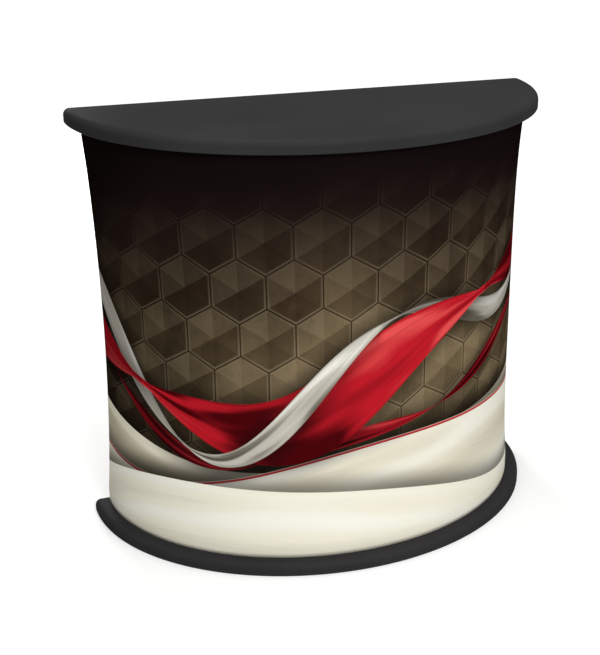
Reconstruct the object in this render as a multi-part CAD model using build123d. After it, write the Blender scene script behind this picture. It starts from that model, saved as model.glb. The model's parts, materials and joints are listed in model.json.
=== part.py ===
from build123d import *

import math
import os

# Portable exhibition counter: a half-oval worktop and base on four sectional uprights, with a
# shelf between them and a stretch-fabric wrap around the outside. Millimetres, +Z up, the
# front faces -Y, and the origin is on the floor under the middle of the counter.

# Overall size
COUNTER_WIDTH = 1050.0
COUNTER_DEPTH = 450.0
COUNTER_HEIGHT = 950.0

# Worktop and base covers, with the boards inside them
TOP_THICKNESS = 30.0
BASE_THICKNESS = 27.0
FOOT_PROUD = 1.0
COVER_SKIN = 4.0
COVER_UPPER_ROUND = 14.0
COVER_LOWER_ROUND = 2.0
COVER_BACK_ROUND = 1.5
BASE_BOARD_THICKNESS = 18.0
TOP_BOARD_THICKNESS = 22.0
BOARD_CLEARANCE = 0.3

# Rubber feet, placed at shares of the half width and of the depth in from the back
FOOT_RADIUS = 18.0
FOOT_CHAMFER = 1.0
FOOT_RECESS_RADIUS = 5.5
FOOT_RECESS_DEPTH = 3.4
FOOT_PLACE_SHARES = [(-0.84, 0.10), (0.0, 0.10), (0.84, 0.10), (-0.62, 0.60), (0.62, 0.60), (0.0, 0.90)]

# Fabric wrap: how far its face stands in from the covers, and how it is drawn in at the waist
WRAP_INSET = 31.5
WRAP_BACK_INSET = 4.0
WRAP_THICKNESS = 1.0
WRAP_CORNER_RADIUS = 14.0
INNER_CORNER_RADIUS = 2.0
WRAP_RETURN = 160.0
WRAP_WAIST_SIDE = 9.7
WRAP_WAIST_FRONT = 8.0
WRAP_WAIST_CORNER_GROWTH = 28.0
WRAP_END_CLEARANCE = 0.3
WRAP_LEVEL_COUNT = 7
HEM_WIDTH = 20.0

# Graphic rails, and the hook and loop tapes between them and the wrap
RAIL_THICKNESS = 2.0
RAIL_LEG = 36.0
RAIL_FOOT = 14.0
RAIL_END_SETBACK = 5.0
TAPE_THICKNESS = 1.2
TAPE_WIDTH = 25.0
TAPE_END_SETBACK = 24.0
TAPE_CLEARANCE = 0.1
RAIL_SCREW_COUNT = 9
RAIL_SCREW_END_ANGLE = 14.0
RAIL_BACK_SCREW_SETBACK = 60.0

# Uprights, placed at shares of the half width and of the depth in from the back
TUBE_RADIUS = 15.0
TUBE_WALL = 1.5
TUBE_SPIGOT_CLEARANCE = 0.2
SPIGOT_WALL = 3.0
SPIGOT_LENGTH = 50.0
UPRIGHT_PLACE_SHARES = {
    "rear_left": (-0.81, 0.14),
    "rear_right": (0.81, 0.14),
    "front_left": (-0.47, 0.66),
    "front_right": (0.47, 0.66),
}
UPRIGHT_HEADINGS = {"rear_left": 0.0, "rear_right": 180.0, "front_left": 90.0, "front_right": 90.0}

# Sockets that hold the uprights to the boards
SOCKET_FLANGE_RADIUS = 30.0
SOCKET_FLANGE_THICKNESS = 5.0
SOCKET_SCREW_CIRCLE_RADIUS = 22.0
SOCKET_SCREW_COUNT = 4
SOCKET_EDGE_CHAMFER = 1.0

# Couplers between the lower and upper tubes, and the shelf that they carry
SHELF_THICKNESS = 12.0
SHELF_HEIGHT_SHARE = 0.5
SHELF_EDGE_BAND = 1.0
SHELF_WRAP_CLEARANCE = 1.5
SHELF_HOLE_CLEARANCE = 0.5
COUPLER_FLANGE_RADIUS = 23.0
COUPLER_FLANGE_THICKNESS = 4.0
COUPLER_LOWER_SPIGOT = 40.0
COUPLER_WEB = 8.0
CROSS_PIN_RADIUS = 2.0
CROSS_PIN_CLEARANCE = 0.05
CROSS_PIN_DROP = 20.0

# Snap buttons and their leaf springs
BUTTON_RADIUS = 3.7
BUTTON_HOLE_CLEARANCE = 0.1
BUTTON_TUBE_CLEARANCE = 0.25
BUTTON_PROUD = 2.2
BUTTON_DOME_ROUND = 1.6
BUTTON_HEIGHT_IN_SOCKET = 25.0
BUTTON_COLLAR_RADIUS = 5.2
BUTTON_COLLAR_INNER = 8.0
BUTTON_COLLAR_CLEARANCE = 0.05
SPRING_THICKNESS = 0.8
SPRING_WIDTH = 6.0
SPRING_BEND_RADIUS = 2.5
SPRING_DROP = 21.0
SPRING_SEAT_HALF_HEIGHT = 4.0
SPRING_WALL_GAP = 0.55

# Countersunk wood screws and the pan-headed screws of the feet
SCREW_RADIUS = 2.0
SCREW_LENGTH = 16.0
SCREW_HEAD_RADIUS = 4.0
SCREW_HEAD_DEPTH = 1.8
SCREW_HOLE_CLEARANCE = 0.2
SCREW_PILOT_CLEARANCE = 0.05
SCREW_SLOT_WIDTH = 1.0
SCREW_SLOT_LENGTH = 5.0
SCREW_SLOT_DEPTH = 0.9
RAIL_SCREW_LENGTH = 12.0
FOOT_SCREW_LENGTH = 14.0
FOOT_SCREW_HEAD_RADIUS = 4.2
FOOT_SCREW_HEAD_DEPTH = 2.6
FOOT_SCREW_HEAD_ROUND = 1.0

# One overrun for every cut that runs past a face, and the halvings that find a corner's centre
CUT_OVERRUN = 5.0
CORNER_HALVINGS = 60

# Levels and places worked out from the sizes above
HALF_WIDTH = COUNTER_WIDTH / 2
BACK_Y = COUNTER_DEPTH / 2
BASE_TOP_Z = FOOT_PROUD + BASE_THICKNESS
BASE_BOARD_UNDER_Z = BASE_TOP_Z - COVER_SKIN - BASE_BOARD_THICKNESS
TOP_UNDER_Z = COUNTER_HEIGHT - TOP_THICKNESS
TOP_BOARD_UNDER_Z = COUNTER_HEIGHT - COVER_SKIN - TOP_BOARD_THICKNESS
SHELF_MIDDLE_Z = BASE_TOP_Z + (TOP_BOARD_UNDER_Z - BASE_TOP_Z) * SHELF_HEIGHT_SHARE
SHELF_UNDER_Z = SHELF_MIDDLE_Z - SHELF_THICKNESS / 2
SHELF_TOP_Z = SHELF_UNDER_Z + SHELF_THICKNESS
LOWER_TUBE_BOTTOM_Z = BASE_TOP_Z + SOCKET_FLANGE_THICKNESS
LOWER_TUBE_TOP_Z = SHELF_UNDER_Z - COUPLER_FLANGE_THICKNESS
UPPER_TUBE_TOP_Z = TOP_BOARD_UNDER_Z - SOCKET_FLANGE_THICKNESS
BASE_BUTTON_Z = LOWER_TUBE_BOTTOM_Z + BUTTON_HEIGHT_IN_SOCKET
SHELF_BUTTON_Z = SHELF_TOP_Z + BUTTON_HEIGHT_IN_SOCKET
TOP_BUTTON_Z = UPPER_TUBE_TOP_Z - BUTTON_HEIGHT_IN_SOCKET
SPIGOT_RADIUS = TUBE_RADIUS - TUBE_WALL - TUBE_SPIGOT_CLEARANCE
BORE_RADIUS = SPIGOT_RADIUS - SPIGOT_WALL
HOOK_TAPE_DEPTH = WRAP_THICKNESS + TAPE_CLEARANCE + TAPE_THICKNESS + TAPE_CLEARANCE
RAIL_DEPTH = HOOK_TAPE_DEPTH + TAPE_THICKNESS
RAIL_FOOT_MIDDLE_DEPTH = RAIL_DEPTH + RAIL_THICKNESS + RAIL_FOOT / 2
RETURN_END_X = HALF_WIDTH - WRAP_INSET - WRAP_RETURN
UPRIGHT_PLACES = {
    name: (x_share * HALF_WIDTH, BACK_Y - y_share * COUNTER_DEPTH)
    for name, (x_share, y_share) in UPRIGHT_PLACE_SHARES.items()
}


def upright(name, z):
    """Where an upright stands at a level, turned so that its local +X is where its buttons point."""
    x, y = UPRIGHT_PLACES[name]
    return Pos(x, y, z) * Rot(0, 0, UPRIGHT_HEADINGS[name])


def uprights(z):
    """The places of all four uprights at one level."""
    return [upright(name, z) for name in UPRIGHT_PLACES]


def rod(radius, low, high):
    """Round bar along Z from one level to another."""
    return Pos(0, 0, low) * extrude(Circle(radius), amount=high - low)


def copies(shape, locations):
    """One group of separate solids, a copy of the shape at each location."""
    return Compound(children=[location * shape for location in locations])


def half_oval(inset, low, high, upper_round, lower_round=0):
    """Slab with half an ellipse for its plan, its front edges rounded and its back cut straight."""
    plan = Pos(0, BACK_Y, low) * Ellipse(HALF_WIDTH - inset, COUNTER_DEPTH - inset)
    slab = extrude(plan, amount=high - low)
    slab = fillet(slab.edges().group_by(Axis.Z)[-1], upper_round)
    if lower_round:
        slab = fillet(slab.edges().group_by(Axis.Z)[0], lower_round)
    behind = Pos(0, BACK_Y - inset, (low + high) / 2) * Box(
        2 * COUNTER_WIDTH,
        2 * COUNTER_DEPTH,
        2 * COUNTER_HEIGHT,
        align=(Align.CENTER, Align.MIN, Align.CENTER),
    )
    return slab - behind


def wrap_outline(depth, waist_share=0.0):
    """D-shaped face that follows the wrap's outer side, a depth inside it.

    The waist draws its front and sides in and cuts its rear corners shorter.
    """
    drawn_in_share = waist_share * (2 - waist_share)
    half_width = HALF_WIDTH - WRAP_INSET - depth - WRAP_WAIST_SIDE * drawn_in_share
    front = COUNTER_DEPTH - WRAP_INSET - depth - WRAP_WAIST_FRONT * drawn_in_share
    back_inset = WRAP_BACK_INSET + depth
    outer_radius = WRAP_CORNER_RADIUS + WRAP_WAIST_CORNER_GROWTH * waist_share**2
    radius = max(outer_radius - depth, INNER_CORNER_RADIUS)

    def corner_centre(angle):
        """Centre of a circle of the corner's radius that touches the ellipse at this angle."""
        normal = Vector(math.cos(angle) / half_width, math.sin(angle) / front).normalized()
        return Vector(half_width * math.cos(angle), front * math.sin(angle)) - normal * radius

    low, high = 0.0, math.pi / 4
    for _ in range(CORNER_HALVINGS):
        middle = (low + high) / 2
        if corner_centre(middle).Y < back_inset + radius:
            low = middle
        else:
            high = middle
    centre = corner_centre(low)
    touch = Vector(half_width * math.cos(low), front * math.sin(low))
    back = centre - Vector(0, radius)
    bulge = centre + ((touch - centre).normalized() + Vector(0, -1)).normalized() * radius

    def placed(point, side):
        """Turn a distance in from the back into the counter's own frame, on either side."""
        return (side * point.X, BACK_Y - point.Y)

    angle = math.degrees(low)
    front_curve = EllipticalCenterArc(
        (0, BACK_Y), half_width, front, start_angle=180 + angle, arc_size=180 - 2 * angle
    )
    right_corner = ThreePointArc(placed(touch, 1), placed(bulge, 1), placed(back, 1))
    back_line = Line(placed(back, 1), placed(back, -1))
    left_corner = ThreePointArc(placed(back, -1), placed(bulge, -1), placed(touch, -1))
    return make_face([front_curve, right_corner, back_line, left_corner])


def back_opening(low, high, setback=0.0):
    """Block that cuts the storage opening between the wrap's two returns."""
    return Pos(0, BACK_Y, (low + high) / 2) * Box(
        2 * (RETURN_END_X + setback), COUNTER_DEPTH, high - low + 2 * CUT_OVERRUN
    )


def strip(outer_depth, thickness, low, high, setback=0.0):
    """Upright strip that follows the wrap, open at the storage opening."""
    outer = extrude(wrap_outline(outer_depth), amount=high - low)
    inner = extrude(wrap_outline(outer_depth + thickness), amount=high - low)
    return Pos(0, 0, low) * (outer - inner) - back_opening(low, high, setback)


# Screws


def countersunk_screw(length):
    """Flat head at z=0, its shank down from it, with a cross recess in the head."""
    head = Pos(0, 0, -SCREW_HEAD_DEPTH) * extrude(
        Circle(SCREW_RADIUS),
        amount=SCREW_HEAD_DEPTH,
        taper=-math.degrees(math.atan((SCREW_HEAD_RADIUS - SCREW_RADIUS) / SCREW_HEAD_DEPTH)),
    )
    screw = head + rod(SCREW_RADIUS, -length, -SCREW_HEAD_DEPTH)
    slot = Box(SCREW_SLOT_LENGTH, SCREW_SLOT_WIDTH, 2 * SCREW_SLOT_DEPTH)
    return screw - slot - Rot(0, 0, 90) * slot


def countersink():
    """Seat for a countersunk head, with its through hole below, from z=0 down."""
    screw_radius = SCREW_RADIUS + SCREW_HOLE_CLEARANCE
    head_radius = SCREW_HEAD_RADIUS + SCREW_HOLE_CLEARANCE
    seat = Pos(0, 0, -SCREW_HEAD_DEPTH) * extrude(
        Circle(screw_radius),
        amount=SCREW_HEAD_DEPTH,
        taper=-math.degrees(math.atan((head_radius - screw_radius) / SCREW_HEAD_DEPTH)),
    )
    return seat + rod(screw_radius, -SCREW_LENGTH, -SCREW_HEAD_DEPTH)


def foot_screw():
    """Pan head at z=0 facing down, its shank up from it."""
    head = fillet(
        rod(FOOT_SCREW_HEAD_RADIUS, 0, FOOT_SCREW_HEAD_DEPTH).edges().group_by(Axis.Z)[0],
        FOOT_SCREW_HEAD_ROUND,
    )
    slot = Box(SCREW_SLOT_LENGTH, SCREW_SLOT_WIDTH, 2 * SCREW_SLOT_DEPTH)
    screw = head + rod(SCREW_RADIUS, FOOT_SCREW_HEAD_DEPTH, FOOT_SCREW_LENGTH)
    return screw - slot - Rot(0, 0, 90) * slot


def socket_screw_places(z):
    """Places of all the socket screws at one level."""
    ring = [
        Rot(0, 0, (number + 0.5) * 360 / SOCKET_SCREW_COUNT) * Pos(SOCKET_SCREW_CIRCLE_RADIUS, 0, 0)
        for number in range(SOCKET_SCREW_COUNT)
    ]
    return [upright(name, z) * place for name in UPRIGHT_PLACES for place in ring]


def rail_screw_places(z):
    """Places of a rail's screws along the middle of its foot: round the front, then the returns."""
    half_width = HALF_WIDTH - WRAP_INSET - RAIL_FOOT_MIDDLE_DEPTH
    front = COUNTER_DEPTH - WRAP_INSET - RAIL_FOOT_MIDDLE_DEPTH
    sweep = 180 - 2 * RAIL_SCREW_END_ANGLE
    places = []
    for number in range(RAIL_SCREW_COUNT):
        angle = math.radians(RAIL_SCREW_END_ANGLE + sweep * number / (RAIL_SCREW_COUNT - 1))
        places.append(Pos(half_width * math.cos(angle), BACK_Y - front * math.sin(angle), z))
    back_x = RETURN_END_X + RAIL_BACK_SCREW_SETBACK
    back_y = BACK_Y - WRAP_BACK_INSET - RAIL_FOOT_MIDDLE_DEPTH
    places.append(Pos(-back_x, back_y, z))
    places.append(Pos(back_x, back_y, z))
    return places


def foot_places(z):
    """Places of the feet under the base board."""
    return [
        Pos(x_share * HALF_WIDTH, BACK_Y - y_share * COUNTER_DEPTH, z)
        for x_share, y_share in FOOT_PLACE_SHARES
    ]


def holes(places, radius, low, high):
    """Straight holes at the given places, between two heights above them."""
    return [place * rod(radius, low, high) for place in places]


# Slabs


def cover(low, thickness):
    """Formed plastic cover, open below, with the round edge of the photograph."""
    high = low + thickness
    outside = half_oval(0, low, high, COVER_UPPER_ROUND, COVER_LOWER_ROUND)
    back_edges = outside.edges().filter_by(Axis.X).group_by(Axis.Y)[-1]
    outside = fillet(back_edges, COVER_BACK_ROUND)
    inside = half_oval(COVER_SKIN, low - CUT_OVERRUN, high - COVER_SKIN, COVER_UPPER_ROUND - COVER_SKIN)
    return outside - inside


def board(low, thickness):
    """Plywood board that fills a cover from below, up against its skin."""
    inset = COVER_SKIN + BOARD_CLEARANCE
    return half_oval(inset, low, low + thickness, COVER_UPPER_ROUND - COVER_SKIN)


def make_base_cover():
    places = socket_screw_places(BASE_TOP_Z) + rail_screw_places(BASE_TOP_Z)
    hole_radius = SCREW_RADIUS + SCREW_HOLE_CLEARANCE
    cuts = holes(places, hole_radius, -COVER_SKIN - CUT_OVERRUN, CUT_OVERRUN)
    return cover(FOOT_PROUD, BASE_THICKNESS) - cuts


def make_base_board():
    pilot = SCREW_RADIUS + SCREW_PILOT_CLEARANCE
    socket_depth = SCREW_LENGTH - SOCKET_FLANGE_THICKNESS
    rail_depth = RAIL_SCREW_LENGTH - RAIL_THICKNESS
    foot_depth = FOOT_SCREW_LENGTH + FOOT_RECESS_DEPTH - FOOT_SCREW_HEAD_DEPTH - BASE_BOARD_UNDER_Z
    cuts = holes(socket_screw_places(BASE_TOP_Z), pilot, -socket_depth, CUT_OVERRUN)
    cuts += holes(rail_screw_places(BASE_TOP_Z), pilot, -rail_depth, CUT_OVERRUN)
    cuts += holes(foot_places(BASE_BOARD_UNDER_Z), pilot, -CUT_OVERRUN, foot_depth)
    return board(BASE_BOARD_UNDER_Z, BASE_BOARD_THICKNESS) - cuts


def make_top_board():
    pilot = SCREW_RADIUS + SCREW_PILOT_CLEARANCE
    socket_depth = SCREW_LENGTH - SOCKET_FLANGE_THICKNESS
    rail_depth = RAIL_SCREW_LENGTH - RAIL_THICKNESS
    cuts = holes(socket_screw_places(TOP_BOARD_UNDER_Z), pilot, -CUT_OVERRUN, socket_depth)
    cuts += holes(rail_screw_places(TOP_BOARD_UNDER_Z), pilot, -CUT_OVERRUN, rail_depth)
    return board(TOP_BOARD_UNDER_Z, TOP_BOARD_THICKNESS) - cuts


# Feet


def make_foot():
    """Rubber pad with a deep recess for its screw."""
    pad = rod(FOOT_RADIUS, 0, BASE_BOARD_UNDER_Z)
    pad = chamfer(pad.edges().group_by(Axis.Z)[0], FOOT_CHAMFER)
    hole = rod(SCREW_RADIUS + SCREW_HOLE_CLEARANCE, -CUT_OVERRUN, BASE_BOARD_UNDER_Z + CUT_OVERRUN)
    return pad - rod(FOOT_RECESS_RADIUS, -CUT_OVERRUN, FOOT_RECESS_DEPTH) - hole


# Rails and tapes, drawn standing up from the face that they are screwed to, at z=0


def make_rail():
    """Bent L strip: the leg carries the hook tape and the foot is screwed down."""
    angle = strip(RAIL_DEPTH, RAIL_THICKNESS + RAIL_FOOT, 0, RAIL_LEG, RAIL_END_SETBACK)
    above_foot = extrude(wrap_outline(RAIL_DEPTH + RAIL_THICKNESS), amount=RAIL_LEG + CUT_OVERRUN)
    seats = [place * countersink() for place in rail_screw_places(RAIL_THICKNESS)]
    return angle - Pos(0, 0, RAIL_THICKNESS) * above_foot - seats


def make_tape(depth):
    """Tape that runs along the middle of the rail's leg."""
    low = (RAIL_LEG - TAPE_WIDTH) / 2
    return strip(depth, TAPE_THICKNESS, low, low + TAPE_WIDTH, TAPE_END_SETBACK)


def at_base(shape):
    return Pos(0, 0, BASE_TOP_Z) * shape


def at_top(shape):
    return Pos(0, 0, TOP_BOARD_UNDER_Z) * mirror(shape, Plane.XY)


# Fabric wrap


def wrap_waist_share(z):
    """How much of the waist the wrap has at a height: none along the rails, all of it half way."""
    low = BASE_TOP_Z + RAIL_LEG
    high = TOP_BOARD_UNDER_Z - RAIL_LEG
    share = (z - low) / (high - low)
    return 4 * share * (1 - share)


def wrap_solid(depth, low, high):
    """Solid inside the wrap at a depth: straight along both rails, drawn in between them."""
    rail_low = BASE_TOP_Z + RAIL_LEG
    rail_high = TOP_BOARD_UNDER_Z - RAIL_LEG
    outline = wrap_outline(depth)
    sections = []
    for number in range(WRAP_LEVEL_COUNT):
        z = rail_low + (rail_high - rail_low) * number / (WRAP_LEVEL_COUNT - 1)
        sections.append(Pos(0, 0, z) * wrap_outline(depth, wrap_waist_share(z)))
    lower_end = Pos(0, 0, low) * extrude(outline, amount=rail_low - low)
    upper_end = Pos(0, 0, rail_high) * extrude(outline, amount=high - rail_high)
    return lower_end + loft(sections) + upper_end


def make_wrap():
    low = BASE_TOP_Z + WRAP_END_CLEARANCE
    high = TOP_BOARD_UNDER_Z - WRAP_END_CLEARANCE
    outside = wrap_solid(0, low, high)
    inside = wrap_solid(WRAP_THICKNESS, low - CUT_OVERRUN, high + CUT_OVERRUN)
    return outside - inside - back_opening(low, high)


def make_hem(side):
    """Folded band sewn to the inside of the wrap's free edge, beside the storage opening."""
    low = BASE_TOP_Z + WRAP_END_CLEARANCE
    high = TOP_BOARD_UNDER_Z - WRAP_END_CLEARANCE
    x = side * (RETURN_END_X + HEM_WIDTH / 2)
    y = BACK_Y - WRAP_BACK_INSET - WRAP_THICKNESS * 3 / 2
    return Pos(x, y, (low + high) / 2) * Box(HEM_WIDTH, WRAP_THICKNESS, high - low)


# Uprights


def button_hole(radius):
    """Hole along +X for a button, at its own height."""
    return Rot(0, 90, 0) * rod(radius, 0, TUBE_RADIUS + CUT_OVERRUN)


def make_socket():
    """Moulded socket standing on z=0: a screwed flange and a hollow spigot for the tube."""
    flange = rod(SOCKET_FLANGE_RADIUS, 0, SOCKET_FLANGE_THICKNESS)
    flange = chamfer(flange.edges().group_by(Axis.Z)[-1], SOCKET_EDGE_CHAMFER)
    top = SOCKET_FLANGE_THICKNESS + SPIGOT_LENGTH
    spigot = rod(SPIGOT_RADIUS, SOCKET_FLANGE_THICKNESS, top)
    spigot = chamfer(spigot.edges().group_by(Axis.Z)[-1], SOCKET_EDGE_CHAMFER)
    bore = rod(BORE_RADIUS, SOCKET_FLANGE_THICKNESS, top + CUT_OVERRUN)
    button_z = SOCKET_FLANGE_THICKNESS + BUTTON_HEIGHT_IN_SOCKET
    socket = flange + spigot - bore - Pos(0, 0, button_z) * button_hole(BUTTON_RADIUS + BUTTON_HOLE_CLEARANCE)
    for number in range(SOCKET_SCREW_COUNT):
        turn = Rot(0, 0, (number + 0.5) * 360 / SOCKET_SCREW_COUNT)
        socket -= turn * Pos(SOCKET_SCREW_CIRCLE_RADIUS, 0, SOCKET_FLANGE_THICKNESS) * countersink()
    return socket


def make_tube(low, high, button_levels, pin_levels):
    """Round tube between two levels, with holes for its buttons and its cross pin."""
    bore = rod(TUBE_RADIUS - TUBE_WALL, low - CUT_OVERRUN, high + CUT_OVERRUN)
    tube = rod(TUBE_RADIUS, low, high) - bore
    for z in button_levels:
        tube -= Pos(0, 0, z) * button_hole(BUTTON_RADIUS + BUTTON_TUBE_CLEARANCE)
    for z in pin_levels:
        hole = cross_pin(CROSS_PIN_RADIUS + CROSS_PIN_CLEARANCE, TUBE_RADIUS + CUT_OVERRUN)
        tube -= Pos(0, 0, z) * hole
    return tube


def cross_pin(radius, half_length):
    """Pin along Y through the middle of an upright."""
    return Rot(90, 0, 0) * rod(radius, -half_length, half_length)


def make_coupler():
    """Moulded coupler at its real level: lower spigot, shelf flange and upper spigot."""
    spigot_top = SHELF_TOP_Z + SPIGOT_LENGTH
    spigot_low = LOWER_TUBE_TOP_Z - COUPLER_LOWER_SPIGOT
    web_low = SHELF_UNDER_Z - COUPLER_WEB
    spigot = rod(SPIGOT_RADIUS, spigot_low, spigot_top)
    spigot = chamfer(spigot.edges().filter_by(GeomType.CIRCLE), SOCKET_EDGE_CHAMFER)
    coupler = spigot + rod(COUPLER_FLANGE_RADIUS, LOWER_TUBE_TOP_Z, SHELF_UNDER_Z)
    coupler -= rod(BORE_RADIUS, spigot_low - CUT_OVERRUN, web_low)
    coupler -= rod(BORE_RADIUS, SHELF_UNDER_Z, spigot_top + CUT_OVERRUN)
    coupler -= Pos(0, 0, SHELF_BUTTON_Z) * button_hole(BUTTON_RADIUS + BUTTON_HOLE_CLEARANCE)
    pin = cross_pin(CROSS_PIN_RADIUS + CROSS_PIN_CLEARANCE, TUBE_RADIUS + CUT_OVERRUN)
    return coupler - Pos(0, 0, LOWER_TUBE_TOP_Z - CROSS_PIN_DROP) * pin


def make_button():
    """Snap button about z=0: a domed pin along +X with a collar shaped to the spigot's bore."""
    pin = rod(BUTTON_RADIUS, BUTTON_COLLAR_INNER, TUBE_RADIUS + BUTTON_PROUD)
    pin = fillet(pin.edges().group_by(Axis.Z)[-1], BUTTON_DOME_ROUND)
    collar = Rot(0, 90, 0) * rod(BUTTON_COLLAR_RADIUS, BUTTON_COLLAR_INNER, TUBE_RADIUS)
    half_height = 2 * BUTTON_COLLAR_RADIUS
    collar &= rod(BORE_RADIUS - BUTTON_COLLAR_CLEARANCE, -half_height, half_height)
    return Rot(0, 90, 0) * pin + collar


def make_spring():
    """Bent leaf spring about z=0: one leg behind the button's collar, the other on the far wall."""
    front = BUTTON_COLLAR_INNER - SPRING_THICKNESS / 2
    back = SPRING_WALL_GAP + SPRING_THICKNESS / 2 - BORE_RADIUS
    seat = SPRING_SEAT_HALF_HEIGHT
    path = FilletPolyline(
        (front, seat),
        (front, -seat),
        (SPRING_BEND_RADIUS, -SPRING_DROP),
        (-SPRING_BEND_RADIUS, -SPRING_DROP),
        (back, -seat),
        (back, seat),
        radius=SPRING_BEND_RADIUS,
    )
    return extrude(Plane.XZ * trace(path, SPRING_THICKNESS), amount=SPRING_WIDTH / 2, both=True)


# Shelf


def shelf_outline(depth):
    return wrap_outline(WRAP_THICKNESS + SHELF_WRAP_CLEARANCE + depth, wrap_waist_share(SHELF_UNDER_Z))


def make_shelf():
    panel = Pos(0, 0, SHELF_UNDER_Z) * extrude(shelf_outline(SHELF_EDGE_BAND), amount=SHELF_THICKNESS)
    hole_radius = SPIGOT_RADIUS + SHELF_HOLE_CLEARANCE
    hole_top = SHELF_THICKNESS + CUT_OVERRUN
    return panel - holes(uprights(SHELF_UNDER_Z), hole_radius, -CUT_OVERRUN, hole_top)


def make_shelf_edge_band():
    outer = extrude(shelf_outline(0), amount=SHELF_THICKNESS)
    inner = extrude(shelf_outline(SHELF_EDGE_BAND), amount=SHELF_THICKNESS)
    return Pos(0, 0, SHELF_UNDER_Z) * (outer - inner)


def make_parts():
    """Every piece of the counter by its name."""
    upside_down = Rot(180, 0, 0)
    parts = {
        "base_cover": make_base_cover(),
        "base_board": make_base_board(),
        "top_cover": cover(TOP_UNDER_Z, TOP_THICKNESS),
        "top_board": make_top_board(),
        "base_feet": copies(make_foot(), foot_places(0)),
        "base_feet_screws": copies(foot_screw(), foot_places(FOOT_RECESS_DEPTH - FOOT_SCREW_HEAD_DEPTH)),
        "base_rail": at_base(make_rail()),
        "top_rail": at_top(make_rail()),
        "base_hook_tape": at_base(make_tape(HOOK_TAPE_DEPTH)),
        "top_hook_tape": at_top(make_tape(HOOK_TAPE_DEPTH)),
        "wrap_base_loop_tape": at_base(make_tape(WRAP_THICKNESS + TAPE_CLEARANCE)),
        "wrap_top_loop_tape": at_top(make_tape(WRAP_THICKNESS + TAPE_CLEARANCE)),
        "graphic_wrap": make_wrap(),
        "wrap_hem_left": make_hem(-1),
        "wrap_hem_right": make_hem(1),
        "shelf_panel": make_shelf(),
        "shelf_edge_band": make_shelf_edge_band(),
    }

    # Screws of the rails and of the sockets
    rail_screw = countersunk_screw(RAIL_SCREW_LENGTH)
    socket_screw = countersunk_screw(SCREW_LENGTH)
    base_rail_level = BASE_TOP_Z + RAIL_THICKNESS
    top_rail_level = TOP_BOARD_UNDER_Z - RAIL_THICKNESS
    parts["base_rail_screws"] = copies(rail_screw, rail_screw_places(base_rail_level))
    parts["top_rail_screws"] = copies(upside_down * rail_screw, rail_screw_places(top_rail_level))
    parts["base_socket_screws"] = copies(socket_screw, socket_screw_places(LOWER_TUBE_BOTTOM_Z))
    socket_screw = upside_down * socket_screw
    parts["top_socket_screws"] = copies(socket_screw, socket_screw_places(UPPER_TUBE_TOP_Z))

    # Uprights: each is a socket, a tube, a coupler, a tube and a socket, locked by three buttons
    socket = make_socket()
    coupler = make_coupler()
    pin_level = LOWER_TUBE_TOP_Z - CROSS_PIN_DROP
    lower_tube = make_tube(LOWER_TUBE_BOTTOM_Z, LOWER_TUBE_TOP_Z, [BASE_BUTTON_Z], [pin_level])
    upper_tube = make_tube(SHELF_TOP_Z, UPPER_TUBE_TOP_Z, [SHELF_BUTTON_Z, TOP_BUTTON_Z], [])
    button = make_button()
    for name in UPRIGHT_PLACES:
        parts[f"base_socket_{name}"] = upright(name, BASE_TOP_Z) * socket
        parts[f"top_socket_{name}"] = upright(name, TOP_BOARD_UNDER_Z) * upside_down * socket
        parts[f"lower_tube_{name}"] = upright(name, 0) * lower_tube
        parts[f"upper_tube_{name}"] = upright(name, 0) * upper_tube
        parts[f"coupler_{name}"] = upright(name, 0) * coupler
        parts[f"base_button_{name}"] = upright(name, BASE_BUTTON_Z) * button
        parts[f"shelf_button_{name}"] = upright(name, SHELF_BUTTON_Z) * button
        parts[f"top_button_{name}"] = upright(name, TOP_BUTTON_Z) * upside_down * button

    # Small pieces shared by the four uprights
    spring = make_spring()
    pin = cross_pin(CROSS_PIN_RADIUS, TUBE_RADIUS)
    parts["coupler_pins"] = copies(pin, uprights(pin_level))
    parts["base_button_springs"] = copies(spring, uprights(BASE_BUTTON_Z))
    parts["shelf_button_springs"] = copies(spring, uprights(SHELF_BUTTON_Z))
    parts["top_button_springs"] = copies(upside_down * spring, uprights(TOP_BUTTON_Z))
    return parts


os.makedirs("parts", exist_ok=True)
for node, shape in make_parts().items():
    export_step(shape, f"parts/{node}.step")
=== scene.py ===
import json
import math

import bpy
import numpy as np
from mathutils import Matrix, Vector


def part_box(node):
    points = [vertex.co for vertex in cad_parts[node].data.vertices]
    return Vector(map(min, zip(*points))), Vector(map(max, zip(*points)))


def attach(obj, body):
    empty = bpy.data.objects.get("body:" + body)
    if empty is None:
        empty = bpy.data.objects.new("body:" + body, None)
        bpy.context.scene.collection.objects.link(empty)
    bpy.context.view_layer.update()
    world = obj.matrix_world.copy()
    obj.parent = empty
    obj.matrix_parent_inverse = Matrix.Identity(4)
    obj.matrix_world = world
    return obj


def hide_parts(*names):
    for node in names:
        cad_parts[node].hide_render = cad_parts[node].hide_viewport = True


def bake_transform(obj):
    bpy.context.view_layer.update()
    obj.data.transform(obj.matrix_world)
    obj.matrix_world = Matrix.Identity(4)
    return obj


# Looks of the exhibition counter, in metres. The print on the fabric is a generic design: crimson
# and cream satin ribbons twist over a bronze field of hexagons that fades to black above, and
# layered sweeps of pale silk rise from the lower edge.

MM = 0.001

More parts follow.
